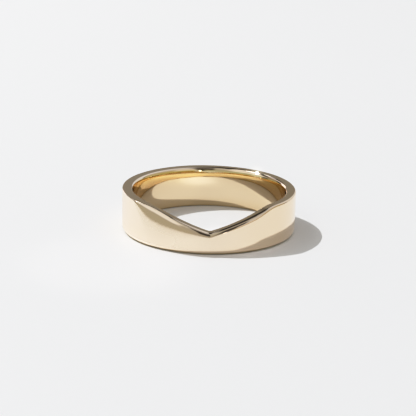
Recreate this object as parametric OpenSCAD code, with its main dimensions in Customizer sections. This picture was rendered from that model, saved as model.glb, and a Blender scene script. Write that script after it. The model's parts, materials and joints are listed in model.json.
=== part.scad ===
// Wedding band with a pointed dip at the front: one solid ring of polished metal that lies on its flat side.
// The origin is the centre of the bore on the resting face, +Z runs along the bore, and the point faces -Y.

/* [Band] */
// Inside diameter of the bore
bore_d = 16.5; // [14:0.1:22]
// Thickness of the metal between the bore and the outside
wall = 1.2; // [1.15:0.01:2]
// Width of the band, which is its height as it lies
band_h = 4.6; // [4:0.1:8]

/* [Pointed dip] */
// Height of the metal left under the point of the dip
point_h = 2.34; // [1.5:0.01:3]
// Angle round the ring from the point to where an arm would meet the level rim
arm_angle = 44.5; // [30:0.5:60]
// Angle over which the point itself is rounded
point_blend = 0.8; // [0.5:0.1:4]
// Height over which each arm bends into the level rim
shoulder_blend = 0.35; // [0.1:0.05:0.8]

/* [Edges] */
// Radius of the bore's upper edge round the level rim
rim_inner_round = 0.55; // [0.12:0.01:0.6]
// Radius of the bore's upper edge along the dip
dip_inner_round = 0.15; // [0.12:0.01:0.5]
// Radius of the outer upper edge round the level rim
rim_outer_round = 0.2; // [0.12:0.01:0.5]
// Radius of the outer upper edge along the dip
dip_outer_round = 0.46; // [0.12:0.01:0.5]
// Radius of the bore's lower edge
foot_inner_round = 0.12; // [0.1:0.01:0.5]
// Radius of the outer lower edge
foot_outer_round = 0.48; // [0.12:0.01:0.5]

/* [Hidden] */

gold = [0.86, 0.78, 0.62];

inner_r = bore_d / 2;
outer_r = inner_r + wall;

// Stations round the ring are close together along the dip and wider apart behind it
fine_step = 1.5;
coarse_step = 3;
fine_half = 60;
angles = concat(
    [for (a = [-fine_half : fine_step : fine_half]) a],
    [for (a = [fine_half + coarse_step : coarse_step : 360 - fine_half - coarse_step]) a]
);

// The trimming tool ends this far past the metal
reach = 0.6;
// Its edge curves meet the walls as short straight lines at this angle, and start this deep in the metal
meet_angle = 20;
meet_depth = 0.015;
meet_line = 0.16;
arc_steps = 5;

// Angle between a station and the point of the dip, from 0 to 180
function away(a) = a > 180 ? 360 - a : abs(a);

// The lower of two heights, with a soft bend of height w where they cross
function soft_min(p, q, w) =
    let (h = min(max(0.5 + 0.5 * (q - p) / w, 0), 1))
    q * (1 - h) + p * h - w * h * (1 - h);

// Height of the top face at an angle from the point
function arm_h(t) =
    point_h + (band_h - point_h) / arm_angle * (sqrt(t * t + point_blend * point_blend) - point_blend);
function top_h(t) = soft_min(arm_h(t), band_h, shoulder_blend);

// Radius of an upper edge, which eases from its value round the level rim to its value along the dip
function edge_round(t, rim, dip) =
    let (h = (band_h - top_h(t)) / (band_h - point_h))
    rim + (dip - rim) * min(1, 3 * h);

// One edge curve of radius r, from outside the wall up to the top face
// side is 1 for the outside of the ring and -1 for the bore
function edge_curve(wall_r, z, r, side) =
    let (mid = wall_r - side * (meet_depth + r * cos(meet_angle)))
    let (arc = [for (i = [0 : arc_steps])
        let (a = meet_angle + (90 - meet_angle) * i / arc_steps)
        [mid + side * r * cos(a), z - r + r * sin(a)]])
    let (low = arc[0] + meet_line * [side * sin(meet_angle), -cos(meet_angle)])
    concat([[wall_r + side * reach, low[1]], low], arc);

function turned_round(list) = [for (i = [len(list) - 1 : -1 : 0]) list[i]];

// Outline of the space above the metal at one station, as [radius, height] points
function cut_section(t) =
    let (z = top_h(t))
    concat(
        edge_curve(inner_r, z, edge_round(t, rim_inner_round, dip_inner_round), -1),
        turned_round(edge_curve(outer_r, z, edge_round(t, rim_outer_round, dip_outer_round), 1)),
        [[outer_r + reach, band_h + reach], [inner_r - reach, band_h + reach]]
    );

// Everything above the metal's top face and its rounded edges
module above_band() {
    count = len(angles);
    size = len(cut_section(0));
    points = [for (a = angles) for (p = cut_section(away(a))) [p[0] * sin(a), -p[0] * cos(a), p[1]]];
    // Each square between two stations and two outline points is two triangles that face outward
    faces = [for (i = [0 : count - 1]) for (j = [0 : size - 1])
        let (here = i * size, next = (i + 1) % count * size, k = (j + 1) % size)
        for (f = [[here + j, next + k, next + j], [here + j, here + k, next + k]]) f];
    polyhedron(points, faces);
}

// Wall of the ring in section, with both lower edges rounded by true arcs; it runs past the rim to be trimmed
module wall_section() {
    tall = band_h + reach / 2;
    translate([inner_r + foot_inner_round, foot_inner_round]) circle(foot_inner_round, $fn = 48);
    translate([outer_r - foot_outer_round, foot_outer_round]) circle(foot_outer_round, $fn = 48);
    translate([inner_r + foot_inner_round, 0]) square([wall - foot_inner_round - foot_outer_round, tall]);
    translate([inner_r, foot_inner_round]) square([foot_inner_round, tall - foot_inner_round]);
    translate([outer_r - foot_outer_round, foot_outer_round])
        square([foot_outer_round, tall - foot_outer_round]);
}

module band() {
    color(gold)
        difference() {
            rotate_extrude($fn = 240) wall_section();
            above_band();
        }
}

band();
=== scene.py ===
import json
import math

import bpy
import numpy as np
from mathutils import Matrix, Vector


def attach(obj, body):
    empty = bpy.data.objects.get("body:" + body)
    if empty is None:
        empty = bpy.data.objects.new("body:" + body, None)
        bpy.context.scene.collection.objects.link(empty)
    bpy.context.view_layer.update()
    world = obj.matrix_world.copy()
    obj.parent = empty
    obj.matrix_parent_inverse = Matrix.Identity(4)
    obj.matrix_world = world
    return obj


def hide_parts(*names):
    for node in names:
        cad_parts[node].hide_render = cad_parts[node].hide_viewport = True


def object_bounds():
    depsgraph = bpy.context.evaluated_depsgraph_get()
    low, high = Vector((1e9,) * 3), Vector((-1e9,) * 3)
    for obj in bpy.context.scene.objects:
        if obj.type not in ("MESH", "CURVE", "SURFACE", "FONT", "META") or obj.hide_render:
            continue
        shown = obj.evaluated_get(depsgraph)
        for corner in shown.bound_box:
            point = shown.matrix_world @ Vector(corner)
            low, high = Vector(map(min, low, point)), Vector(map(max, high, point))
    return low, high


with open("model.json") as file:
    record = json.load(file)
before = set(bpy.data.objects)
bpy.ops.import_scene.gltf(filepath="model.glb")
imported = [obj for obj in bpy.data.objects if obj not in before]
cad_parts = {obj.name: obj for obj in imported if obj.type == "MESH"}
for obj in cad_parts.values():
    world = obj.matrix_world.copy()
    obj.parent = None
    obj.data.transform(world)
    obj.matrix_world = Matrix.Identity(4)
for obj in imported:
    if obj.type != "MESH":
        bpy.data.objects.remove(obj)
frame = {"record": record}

cad_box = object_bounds()
MM = 0.001

# Sizes of the band in millimetres, from the frame
BORE = next(m for m in frame["record"]["mounts"] if m["name"] == "finger_bore")
INNER_R = BORE["dims"]["r_mm"]
OUTER_R = (cad_box[1][0] - cad_box[0][0]) / 2 / MM
BAND_H = cad_box[1][2] / MM

# Comfort curve of the bore: its wall bulges inward along this radius, and leans away faster towards the rim
BORE_CURVE = 70.0
BORE_LIP = 0.0080

# Pointed dip in the upper rim: the height of its point, its angle from the front and the angle that rounds it
POINT_H = 2.34
POINT_AT = 0.3
POINT_BLEND = 1.1
# For each arm, left first: the angle from the point to where it would meet the level rim, and the height of
# its bend there
ARM_ANGLE = (45.9, 43.2)
SHOULDER_BLEND = (1.1, 0.28)

# Edge radii round the level rim and along the dip, left first, and at the foot
RIM_INNER = (0.28, 0.40)
RIM_OUTER = (0.08, 0.24)
DIP_INNER = (0.05, 0.35)
DIP_OUTER = (0.35, 0.48)
FOOT_INNER = 0.3
FOOT_OUTER = 0.49
# How soon an edge has its dip radius as the top face falls, left first; 4 is a quarter of the way down
EASE_INNER = (4.0, 3.0)
EASE_OUTER = (1.3, 3.5)
# Left values turn into right ones while the sine of the angle changes by this much, in front and at the back
MEETING = 0.8

# Rolled inner rim at the back: the radius added near the bore wall, how far from level the normal may be
# there, and the angles from the front where the roll starts and where it is full
RIM_ROLL = 1.7
RIM_TILT = math.radians(15.0)
RIM_FROM = 90.0
RIM_TO = 134.0

# Buffed hollow of the left shoulder, where the outer edge rolls far down the wall: the radius added there,
# the angle of its middle, how fast it weakens to either side, how far it reaches to the left and right,
# and how far from level the normal may be
CROWN_RADIUS = 13.5
CROWN_MIDDLE = -39.9
CROWN_SPREAD = 25.8
CROWN_REACH = (18.0, 48.0)
CROWN_TILT = math.radians(16.4)

# Steps along each stretch of the section; a rolled edge has finer steps inside, and crowds towards the wall
FACE_STEPS = 4
OUTSIDE_STEPS = 8
FOOT_STEPS = 12
BORE_STEPS = 16
ROLL_STEPS = 26
ROLL_FINE = 10
ROLL_CROWD = 1.6
# Stations round the ring: up to each angle from the front they are this many degrees apart
STATION_STEPS = [(3.0, 0.15), (66.0, 0.4), (180.0, 0.9)]


def smooth_step(x):
    """A number held between 0 and 1 and eased at both ends."""
    x = min(1.0, max(0.0, x))
    return x * x * (3 - 2 * x)


def soft_min(p, q, w):
    """The lower of two heights, with a soft bend of height w where they cross."""
    h = min(max(0.5 + 0.5 * (q - p) / w, 0.0), 1.0)
    return q * (1 - h) + p * h - w * h * (1 - h)


def top_height(t):
    """Height of the top face at t degrees from the front."""
    away = t - POINT_AT
    side = int(away > 0)
    rise = (BAND_H - POINT_H) / ARM_ANGLE[side]
    arm = POINT_H + rise * (math.hypot(away, POINT_BLEND) - POINT_BLEND)
    return soft_min(arm, BAND_H, SHOULDER_BLEND[side])


def between(pair, t):
    """The left or right value of a size, blended where the two halves of the ring meet."""
    share = smooth_step(0.5 + math.sin(math.radians(t)) / MEETING)
    return pair[0] + (pair[1] - pair[0]) * share


def edge_radius(t, rim, dip, ease):
    """Radius of an upper edge, which eases from the level rim to the dip."""
    depth = (BAND_H - top_height(t)) / (BAND_H - POINT_H)
    eased = min(1.0, between(ease, t) * depth)
    return between(rim, t) + (between(dip, t) - between(rim, t)) * eased


def crown_radius(t):
    """Radius that the buffed shoulder adds to the outer edge at t degrees."""
    away = abs(t - CROWN_MIDDLE)
    fade = math.cos(min(1.0, away / CROWN_REACH[int(t > CROWN_MIDDLE)]) * math.pi / 2)
    return CROWN_RADIUS * fade / (1 + (away / CROWN_SPREAD) ** 2)


def rolled(tight, roll, tilt, end):
    """A rounded edge from the flat face down to a wall, as (distance across, height, angle of the normal).

    Its radius is tight near the face and grows by roll where the normal comes within tilt of level.
    """
    span = math.pi / 2 - end
    angles = [end + span * (1 - i / ROLL_STEPS) ** ROLL_CROWD for i in range(ROLL_STEPS + 1)]
    points = [(0.0, 0.0, math.pi / 2)]
    across, z = 0.0, 0.0
    for high, low in zip(angles, angles[1:]):
        step = (high - low) / ROLL_FINE
        for k in range(ROLL_FINE):
            angle = high - (k + 0.5) * step
            radius = tight + roll * math.exp(-((angle / tilt) ** 2))
            across += radius * math.sin(angle) * step
            z -= radius * math.cos(angle) * step
        points.append((across, z, low))
    return points


def outer_edge(t, z_top):
    """Outer top edge as (radius, height, angle of the normal), from the face down to the wall."""
    points = rolled(edge_radius(t, RIM_OUTER, DIP_OUTER, EASE_OUTER), crown_radius(t), CROWN_TILT, 0.0)
    start = OUTER_R - points[-1][0]
    return [(start + p[0], z_top + p[1], p[2]) for p in points]


def arc(mid_r, mid_z, radius, start, end, steps):
    """Points of a round edge as (radius, height, angle of the normal)."""
    out = []
    for i in range(steps + 1):
        a = start + (end - start) * i / steps
        out.append((mid_r + radius * math.cos(a), mid_z + radius * math.sin(a), a))
    return out


def bore_lean(z):
    """Angle between the bore wall and the vertical; the upper half leans outward."""
    h = z - BAND_H / 2
    return math.atan(h / BORE_CURVE + BORE_LIP * max(h, 0.0) ** 3)


def bore_radius(z):
    """Radius of the bore at a height."""
    h = z - BAND_H / 2
    return INNER_R + h * h / (2 * BORE_CURVE) + BORE_LIP * max(h, 0.0) ** 4 / 4


def bore_edge(z_flat, up, tight, roll):
    """Edge between the bore wall and a flat face above (up 1) or below (up -1), from wall to face."""
    points = rolled(tight, roll, RIM_TILT, up * bore_lean(z_flat - up * tight))
    last = points[-1]
    start = bore_radius(z_flat + up * last[1]) + last[0]
    edge = [(start - p[0], z_flat + up * p[1], math.pi - up * p[2]) for p in points]
    return edge[::-1]


def bore_wall(low, high, steps):
    """Inner points of the curved bore wall between two heights."""
    out = []
    for i in range(1, steps):
        z = low + (high - low) * i / steps
        out.append((bore_radius(z), z, math.pi - bore_lean(z)))
    return out


def line(start, end, angle, steps):
    """Inner points of a straight stretch between two points."""
    out = []
    for i in range(1, steps):
        s = i / steps
        out.append((start[0] + (end[0] - start[0]) * s, start[1] + (end[1] - start[1]) * s, angle))
    return out


def section(t):
    """Closed outline of the metal at t degrees: bore edge, top face, outer edge, outside, foot, bore."""
    quarter = math.pi / 2
    z_top = top_height(t)
    behind = smooth_step((abs(t) - RIM_FROM) / (RIM_TO - RIM_FROM))
    inner = bore_edge(z_top, 1, edge_radius(t, RIM_INNER, DIP_INNER, EASE_INNER), RIM_ROLL * behind)
    outer = outer_edge(t, z_top)
    foot_out = arc(OUTER_R - FOOT_OUTER, FOOT_OUTER, FOOT_OUTER, 0.0, -quarter, FOOT_STEPS)
    foot_in = bore_edge(0.0, -1, FOOT_INNER, 0.0)[::-1]
    ring = inner + line(inner[-1], outer[0], quarter, FACE_STEPS) + outer
    ring += line(outer[-1], foot_out[0], 0.0, OUTSIDE_STEPS) + foot_out
    ring += line(foot_out[-1], foot_in[0], -quarter, FACE_STEPS) + foot_in
    ring += bore_wall(foot_in[-1][1], inner[0][1], BORE_STEPS)
    return ring


def stations():
    """Angles round the ring, closest at the point of the dip and wider apart behind."""
    out, t = [], 0.0
    for reach, step in STATION_STEPS:
        while t < reach:
            out.append(t)
            t += step
    return [-a for a in reversed(out[1:])] + out


def band_mesh():
    """The whole ring as one closed mesh whose vertex normals are the true ones."""
    angles = stations()
    rows = np.array([section(t) for t in angles])
    a = np.radians(angles)[:, None]
    r, z, tilt = rows[..., 0], rows[..., 1], rows[..., 2]
    points = np.stack([r * np.sin(a), -r * np.cos(a), z], axis=-1)
    along = np.roll(points, -1, axis=0) - np.roll(points, 1, axis=0)
    up = np.stack([-np.sin(tilt) * np.sin(a), np.sin(tilt) * np.cos(a), np.cos(tilt)], axis=-1)
    normals = np.cross(along, up)
    normals /= np.linalg.norm(normals, axis=-1, keepdims=True)
    count, size = r.shape
    faces = []
    for i in range(count):
        here, after = i * size, (i + 1) % count * size
        for j in range(size):
            k = (j + 1) % size
            faces.append((here + j, here + k, after + k, after + j))
    mesh = bpy.data.meshes.new("gold_band")
    mesh.from_pydata([tuple(p) for p in points.reshape(-1, 3) * MM], [], faces)
    mesh.polygons.foreach_set("use_smooth", [True] * len(mesh.polygons))
    mesh.normals_split_custom_set_from_vertices([tuple(n) for n in normals.reshape(-1, 3)])
    mesh.update()
    return mesh


class Nodes:
    """Adds nodes to a shader tree, left to right."""

    def __init__(self, tree):
        self.tree = tree

    def add(self, kind, sources=None, **values):
        """A node whose properties and inputs are set by name, and whose inputs are fed by sources."""
        made = self.tree.nodes.new("ShaderNode" + kind)
        made.location = (180 * len(self.tree.nodes), 0)
        for name, value in values.items():
            if hasattr(made, name):
                setattr(made, name, value)
            else:
                made.inputs[name.replace("_", " ")].default_value = value
        for name, source in (sources or {}).items():
            self.tree.links.new(source, made.inputs[name])
        return made

    def math(self, operation, *terms):
        """The output of a Math node; each term is a number or a socket."""
        made = self.add("Math", operation=operation)
        for socket, term in zip(made.inputs, terms):
            if isinstance(term, (int, float)):
                socket.default_value = term
            else:
                self.tree.links.new(term, socket)
        return made.outputs[0]

    def ramp(self, value, low, high, to_low=0.0, to_high=1.0, smooth=False):
        """The value mapped from one range to another, held at the ends."""
        made = self.add("MapRange", {"Value": value})
        made.interpolation_type = "SMOOTHSTEP" if smooth else "LINEAR"
        ends = {"From Min": low, "From Max": high, "To Min": to_low, "To Max": to_high}
        for name, number in ends.items():
            made.inputs[name].default_value = number
        return made.outputs["Result"]

    def mix(self, factor, a, b):
        """The colour between a and b; each is a colour or a socket."""
        made = self.add("Mix", {"Factor": factor}, data_type="RGBA")
        for name, colour in (("A", a), ("B", b)):
            socket = next(s for s in made.inputs if s.name == name and s.type == "RGBA")
            if isinstance(colour, tuple):
                socket.default_value = (*colour, 1.0)
            else:
                self.tree.links.new(colour, socket)
        return next(s for s in made.outputs if s.type == "RGBA")


def new_material(name):
    """A node material, the maker of its nodes, and its shader."""
    mat = bpy.data.materials.new(name)
    mat.use_nodes = True
    return mat, Nodes(mat.node_tree), mat.node_tree.nodes["Principled BSDF"]


def placed(name, data):
    """A new object in the scene."""
    made = bpy.data.objects.new(name, data)
    bpy.context.collection.objects.link(made)
    return made


def metres(span):
    """Both ends of a span that is given in millimetres."""
    return span[0] * MM, span[1] * MM


# Gold of the outside and the rim, and of the bore. Light and shade are painted into it: a lighter sheen on
# the left of the outside, shade over the outer foot, a yellower bore where its walls light each other, shade
# at the bore's foot and a brighter reflection towards the bore's rim
GOLD_OUTSIDE = (0.86, 0.68, 0.48)
GOLD_PAINTED_SHEEN = (0.945, 0.785, 0.615)
GOLD_PAINTED_FOOT_SHADE = (0.62, 0.50, 0.28)
GOLD_BORE_PAINTED_SHADE = (0.72, 0.555, 0.34)
GOLD_BORE_LOW = (0.785, 0.62, 0.41)
GOLD_BORE_PAINTED_REFLECTION = (0.94, 0.80, 0.45)
# Where the tints change, in millimetres: from the painted sheen on the left to the right, up from the painted
# shade under the outer foot, out from the bore wall, up from the painted shade at the bore's foot, and up
# towards the painted reflection at its rim
PAINTED_SHEEN_ACROSS = (-8.0, 9.0)
FOOT_UP = (0.06, 0.32)
BORE_OUT = (INNER_R + 0.05, INNER_R + 0.14)
BORE_FOOT_UP = (0.2, 1.5)
BORE_RIM_UP = (0.66 * BAND_H, 0.92 * BAND_H)
# Share of the painted lighter sheen at the left, and what a soft cloud adds to it
PAINTED_SHEEN_SHARE = 0.75
CLOUD_SHARE = 0.25
CLOUD_SCALE = 350.0
CLOUD_DETAIL = 2.0

# Buffing marks: their number round a radian and across a metre, their grain, their depth in metres,
# and the roughness of the polish over their span from low to high
MARKS_ROUND = 6.0
MARKS_ACROSS = 5000.0
MARKS_DETAIL = 3.0
MARKS_ROUGHNESS = 0.6
MARKS_BUMP = 0.4
MARKS_DEPTH = 0.0000012
MARKS_SPAN = (0.3, 0.75)
POLISH = (0.01, 0.04)

# Haze of the upright outside wall: its roughness, the rise of the normal over which it ends, the millimetres
# from the middle over which it starts, and its strength from the buffed left to the right
HAZE = 0.06
HAZE_LEAN = (0.05, 0.3)
HAZE_OUT = (OUTER_R - 0.6, OUTER_R - 0.2)
BUFFED = (5.0, 0.6)
BUFFED_ACROSS = (-6.0, 3.0)


def gold_material():
    """Mirror-polished pale gold with fine buffing marks that run round the ring, and painted light and shade
    in its colour.
    """
    mat, nodes, metal = new_material("polished_gold")
    metal.inputs["Metallic"].default_value = 1.0
    where = nodes.add("TexCoord").outputs["Object"]
    x, y, z = nodes.add("SeparateXYZ", {"Vector": where}).outputs
    squares = nodes.math("ADD", nodes.math("MULTIPLY", x, x), nodes.math("MULTIPLY", y, y))
    radius = nodes.math("SQRT", squares)
    turn = nodes.math("ARCTAN2", x, y)

    # Painted light: the outside is lighter and paler towards the left, by a share that a soft cloud varies at
    # random
    cloud = nodes.add("TexNoise", {"Vector": where}, Scale=CLOUD_SCALE, Detail=CLOUD_DETAIL)
    clouded = nodes.math("MULTIPLY", cloud.outputs["Fac"], CLOUD_SHARE)
    pale = nodes.math("ADD", nodes.ramp(x, *metres(PAINTED_SHEEN_ACROSS), PAINTED_SHEEN_SHARE, 0.0), clouded)
    outside = nodes.mix(pale, GOLD_OUTSIDE, GOLD_PAINTED_SHEEN)
    # Painted shade darkens the gold just over the outer foot
    foot = nodes.ramp(z, *metres(FOOT_UP), 1.0, 0.0, smooth=True)
    outside = nodes.mix(foot, outside, GOLD_PAINTED_FOOT_SHADE)
    # The bore is painted yellower as light from its walls, with painted shade at its foot and a brighter
    # painted reflection towards its rim
    bore = nodes.ramp(radius, *metres(BORE_OUT), 1.0, 0.0, smooth=True)
    height = nodes.ramp(z, *metres(BORE_RIM_UP), smooth=True)
    deep = nodes.ramp(z, *metres(BORE_FOOT_UP), 1.0, 0.0, smooth=True)
    bore_low = nodes.mix(deep, GOLD_BORE_LOW, GOLD_BORE_PAINTED_SHADE)
    colour = nodes.mix(bore, outside, nodes.mix(height, bore_low, GOLD_BORE_PAINTED_REFLECTION))

    # Buffing marks are long round the ring and fine across it
    round_ring = nodes.add("CombineXYZ", {
        "X": nodes.math("MULTIPLY", turn, MARKS_ROUND),
        "Y": nodes.math("MULTIPLY", z, MARKS_ACROSS),
        "Z": nodes.math("MULTIPLY", radius, MARKS_ACROSS),
    })
    grain = {"Scale": 1.0, "Detail": MARKS_DETAIL, "Roughness": MARKS_ROUGHNESS}
    marks = nodes.add("TexNoise", {"Vector": round_ring.outputs["Vector"]}, **grain).outputs["Fac"]
    facing = nodes.add("SeparateXYZ", {"Vector": nodes.add("NewGeometry").outputs["Normal"]}).outputs["Z"]
    upright = nodes.ramp(nodes.math("ABSOLUTE", facing), *HAZE_LEAN, 1.0, 0.0, smooth=True)
    outer = nodes.ramp(radius, *metres(HAZE_OUT), 0.0, HAZE, smooth=True)
    buffed = nodes.ramp(x, *metres(BUFFED_ACROSS), *BUFFED, smooth=True)
    haze = nodes.math("MULTIPLY", nodes.math("MULTIPLY", upright, outer), buffed)
    rough = nodes.math("ADD", haze, nodes.ramp(marks, *MARKS_SPAN, *POLISH))
    bump = nodes.add("Bump", {"Height": marks}, Strength=MARKS_BUMP, Distance=MARKS_DEPTH)

    nodes.tree.links.new(colour, metal.inputs["Base Color"])
    nodes.tree.links.new(rough, metal.inputs["Roughness"])
    nodes.tree.links.new(bump.outputs["Normal"], metal.inputs["Normal"])
    return mat


# Card under the ring: half its width in metres, its tones between and in the fibres, and the painted shade,
# a darker tone that takes over by a share from the back to the front, along these millimetres
CARD_HALF = 0.6
CARD_TONES = ((0.885, 0.885, 0.885), (0.905, 0.905, 0.905))
CARD_ROUGHNESS = 0.5
CARD_GLOSS = 1.0
FIBRE_SCALE = 900.0
FIBRE_DETAIL = 4.0
PAINTED_FRONT_SHADE = (0.86, 0.86, 0.86)
PAINTED_SHADE_SHARE = 0.8
PAINTED_SHADE_ALONG = (-70.0, 70.0)


def paper_material():
    """Smooth satin card with a faint fibre grain, and painted shade that darkens it towards the front."""
    mat, nodes, card = new_material("white_card")
    card.inputs["Roughness"].default_value = CARD_ROUGHNESS
    card.inputs["Specular IOR Level"].default_value = CARD_GLOSS
    where = nodes.add("TexCoord").outputs["Object"]
    fibres = nodes.add("TexNoise", {"Vector": where}, Scale=FIBRE_SCALE, Detail=FIBRE_DETAIL)
    tone = nodes.mix(fibres.outputs["Fac"], *CARD_TONES)
    # Painted shade: a darker tone towards the front
    along = nodes.add("SeparateXYZ", {"Vector": where}).outputs["Y"]
    front = nodes.ramp(along, *metres(PAINTED_SHADE_ALONG), PAINTED_SHADE_SHARE, 0.0)
    tone = nodes.mix(front, tone, PAINTED_FRONT_SHADE)
    nodes.tree.links.new(tone, card.inputs["Base Color"])
    return mat


def plain_floor():
    half = CARD_HALF
    corners = [(-half, -half, 0), (half, -half, 0), (half, half, 0), (-half, half, 0)]
    mesh = bpy.data.meshes.new("floor")
    mesh.from_pydata(corners, [], [(0, 1, 2, 3)])
    floor = placed("floor", mesh)
    floor.data.materials.append(paper_material())


# Camera: the photograph's angle to the ring, and where the ring's centre stands in its 416-pixel frame
IMAGE_W = 416
RING_U = 208.85
RING_V = 227.65
PIXELS_PER_MM = 9.11
CAMERA_DISTANCE = 150.0
LOOK_DOWN = 17.63
LOOK_SIDE = 0.55
ROLL = 1.12
SENSOR_WIDTH = 36.0
CLIP_START = 0.01
CLIP_END = 10.0


def make_camera():
    pixels = PIXELS_PER_MM * CAMERA_DISTANCE
    data = bpy.data.cameras.new("camera")
    data.sensor_width = SENSOR_WIDTH
    data.lens = pixels / IMAGE_W * SENSOR_WIDTH
    data.clip_start = CLIP_START
    data.clip_end = CLIP_END
    camera = placed("camera", data)
    down = math.radians(LOOK_DOWN)
    side = math.radians(LOOK_SIDE)
    ray = Vector((math.sin(side) * math.cos(down), math.cos(side) * math.cos(down), -math.sin(down)))
    camera.location = -ray * CAMERA_DISTANCE * MM
    aim = ray.to_track_quat("-Z", "Y").to_matrix()
    half = IMAGE_W / 2
    turn_up = Matrix.Rotation(math.atan((RING_V - half) / pixels), 3, "X")
    turn_side = Matrix.Rotation(math.atan((RING_U - half) / pixels), 3, "Y")
    roll = Matrix.Rotation(math.radians(ROLL), 3, "Z")
    camera.rotation_euler = (aim @ turn_up @ turn_side @ roll).to_euler()
    bpy.context.scene.camera = camera


# Key lamp: a small bright lamp up behind the ring to the left
KEY_TOWARD = Vector((-0.506, 0.314, 0.803))
KEY_DISTANCE = 1.0
KEY_RADIUS = 0.0087
KEY_STRENGTH = 2.66
KEY_COLOUR = (0.985, 1.0, 1.03)


def key_lamp():
    data = bpy.data.lights.new("key", "POINT")
    data.energy = KEY_STRENGTH * 4 * math.pi * KEY_DISTANCE ** 2
    data.color = KEY_COLOUR
    data.shadow_soft_size = KEY_RADIUS
    lamp = placed("key", data)
    lamp.location = KEY_TOWARD * KEY_DISTANCE


# Lamps that light the floor and don't show in the metal
SIDE_AT = Vector((0.47, -0.05, 0.16))
SIDE_SIZE = 0.3
SIDE_ENERGY = 0.15
# Light that the gold throws onto the floor, inside the front half and before the left of the foot:
# the patch's middle, its radius and the lamp's energy
CAUSTICS = [
    (Vector((0.0025, -0.0043, 0.0)), 0.0047, 2.3),
    (Vector((-0.0100, -0.0120, 0.0)), 0.0110, 0.30),
]
# Height of these lamps over the floor, softness of the patches' edges, radius of the lamps, and their tint
CAUSTIC_HEIGHT = 0.3
CAUSTIC_EDGE = 0.7
CAUSTIC_LAMP = 0.002
WARM = (1.0, 0.90, 0.90)


def hidden_lamp(name, kind, energy, place, target):
    data = bpy.data.lights.new(name, kind)
    data.energy = energy
    lamp = placed(name, data)
    lamp.location = place
    lamp.rotation_euler = (target - place).to_track_quat("-Z", "Y").to_euler()
    lamp.visible_glossy = False
    return data


def side_lamp():
    """A wide lamp to the right that lifts the shadow on the floor."""
    data = hidden_lamp("side", "AREA", SIDE_ENERGY, SIDE_AT, Vector((0, 0, 0)))
    data.size = SIDE_SIZE


def caustic_lamps():
    for place, radius, energy in CAUSTICS:
        data = hidden_lamp("caustic", "SPOT", energy, place + Vector((0, 0, CAUSTIC_HEIGHT)), place)
        data.color = WARM
        data.spot_size = 2 * math.atan(radius / CAUSTIC_HEIGHT)
        data.spot_blend = CAUSTIC_EDGE
        data.shadow_soft_size = CAUSTIC_LAMP


# Dark room and its soft boxes, each laid over the ones before it. Azimuth 0 is behind the ring and 90 is to
# its right. Angles are in degrees: middle azimuth and elevation, half width and height, soft edge, lean,
# colour
ROOM = (0.03, 0.028, 0.025)
SOFT_BOXES = [
    # Wide window to the right, and a brighter one behind the ring to the right with its lower half
    (95, 52, 52, 24, 7, 0, (0.60, 0.62, 0.66)),
    (38, 46, 22, 26, 4, 0, (0.78, 0.81, 0.88)),
    (38, 12, 22, 16, 4, 0, (0.72, 0.74, 0.78)),
    # Tawny wall under the wide window, a pale one towards the front, and the dark foot of both
    (98, 15, 34, 18, 6, 0, (0.48, 0.42, 0.26)),
    (144, 17, 19, 18, 6, 0, (0.68, 0.64, 0.60)),
    (128, 3, 30, 6, 3, 0, (0.42, 0.34, 0.14)),
    # Dim wall behind the ring
    (358, 17, 18, 21, 3, 0, (0.25, 0.235, 0.20)),
    # Ceiling over the front half
    (172, 76, 62, 10, 5, 0, (0.47, 0.46, 0.45)),
    # Grey screens in front of the ring, brighter ones to the front left, and their dim foot
    (198, 16, 26, 24, 6, 0, (0.42, 0.40, 0.34)),
    (206, 52, 16, 18, 6, 0, (0.48, 0.49, 0.44)),
    (236, 39, 19, 22, 8, 0, (0.78, 0.78, 0.76)),
    (244, 26, 30, 11, 5, -1.2, (0.90, 0.90, 0.90)),
    (234, 2, 34, 13, 4, 0, (0.44, 0.42, 0.33)),
    # Dark gap in front of the ring
    (172, 38, 15, 21, 4, 0, (0.05, 0.045, 0.04)),
    # Bright panels to the left and behind the ring to the left
    (270, 62, 34, 8, 4, 0, (1.05, 1.05, 1.05)),
    (268, 42, 7, 14, 3, 0, (1.15, 1.15, 1.15)),
    (318, 40, 16, 5, 3, 0, (0.62, 0.66, 0.80)),
    (318, 24, 7, 10, 4, -1.6, (1.2, 1.2, 1.3)),
    (329, 9, 9, 8, 3, 0, (1.9, 1.75, 1.85)),
    # Dim wall between the panels on the left
    (292, 14, 12, 14, 5, 0, (0.33, 0.29, 0.20)),
    # Bright strip behind the ring to the left, dark patch under the key lamp, its glow, and a slit in front
    (328, 44, 8, 3, 1.5, 0, (1.8, 1.9, 2.0)),
    (297, 43, 8, 5, 2, 0, (0.03, 0.03, 0.03)),
    (302, 57, 6, 6, 2, 0, (9.0, 9.0, 9.0)),
    (166, 3, 1.8, 6, 1.2, 0, (3.6, 3.5, 3.4)),
]


def soft_box(nodes, sky, azimuth, elevation, box):
    """The sky with one soft box laid over it."""
    middle, height, half_width, half_height, edge, lean, colour = box
    shifted = nodes.math("SUBTRACT", azimuth, middle)
    if lean:
        leaning = nodes.math("MULTIPLY", nodes.math("SUBTRACT", elevation, height), lean)
        shifted = nodes.math("SUBTRACT", shifted, leaning)
    aside = nodes.math("ABSOLUTE", nodes.math("WRAP", shifted, 180.0, -180.0))
    above = nodes.math("ABSOLUTE", nodes.math("SUBTRACT", elevation, height))
    wide = nodes.ramp(aside, half_width - edge, half_width + edge, 1.0, 0.0, smooth=True)
    tall = nodes.ramp(above, half_height - edge, half_height + edge, 1.0, 0.0, smooth=True)
    return nodes.mix(nodes.math("MULTIPLY", wide, tall), sky, colour)


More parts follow.
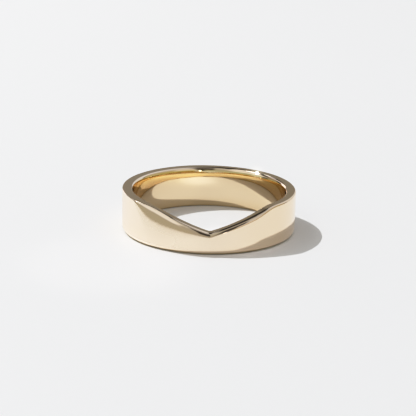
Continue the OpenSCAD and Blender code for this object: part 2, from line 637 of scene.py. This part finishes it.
def studio():
    world = bpy.data.worlds.new("studio")
    bpy.context.scene.world = world
    world.use_nodes = True
    tree = world.node_tree
    nodes = Nodes(tree)
    toward = nodes.add("TexCoord").outputs["Generated"]
    x, y, z = nodes.add("SeparateXYZ", {"Vector": toward}).outputs
    azimuth = nodes.math("DEGREES", nodes.math("ARCTAN2", x, y))
    elevation = nodes.math("DEGREES", nodes.math("ARCSINE", z))
    sky = ROOM
    for box in SOFT_BOXES:
        sky = soft_box(nodes, sky, azimuth, elevation, box)
    tree.links.new(sky, tree.nodes["Background"].inputs["Color"])


# Film curve: scene light on the left, shown light on the right. Highlights roll off softly, and the curve
# still rises a little at its end, so that the brightest glints stay white
FILM = [
    (0.0, 0.0), (0.33, 0.33), (0.65, 0.65), (0.80, 0.765), (0.93, 0.84),
    (1.09, 0.913), (1.35, 0.98), (1.8, 1.0), (3.0, 1.03),
]
FILM_TOP = 1.1
# The last of the four curves acts on all colours alike
ALL_COLOURS = 3


def film():
    view = bpy.context.scene.view_settings
    view.view_transform = "Standard"
    view.use_curve_mapping = True
    mapping = view.curve_mapping
    mapping.use_clip = False
    mapping.clip_max_x = FILM[-1][0]
    mapping.clip_max_y = FILM_TOP
    curve = mapping.curves[ALL_COLOURS]
    curve.points[0].location = FILM[0]
    curve.points[1].location = FILM[-1]
    for point in FILM[1:-1]:
        curve.points.new(*point)
    mapping.update()


# Bloom round the glints: the light above which it shows, its size against the image, and its strength
BLOOM = {"Threshold": 2.2, "Size": 0.02, "Strength": 6.0}


def lens_bloom():
    scene = bpy.context.scene
    scene.use_nodes = True
    tree = scene.node_tree
    tree.nodes.clear()
    layers = tree.nodes.new("CompositorNodeRLayers")
    glare = tree.nodes.new("CompositorNodeGlare")
    result = tree.nodes.new("CompositorNodeComposite")
    glare.glare_type = "BLOOM"
    for name, value in BLOOM.items():
        glare.inputs[name].default_value = value
    tree.links.new(layers.outputs["Image"], glare.inputs["Image"])
    tree.links.new(glare.outputs["Image"], result.inputs["Image"])


def make_band():
    band = placed("gold_band", band_mesh())
    band.data.materials.append(gold_material())
    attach(band, "root")
    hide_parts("band")


# How often light may be mirrored on between the bore's walls
GLOSSY_BOUNCES = 8

film()
lens_bloom()
make_camera()
plain_floor()
key_lamp()
side_lamp()
caustic_lamps()
studio()
make_band()
bpy.context.scene.cycles.glossy_bounces = GLOSSY_BOUNCES
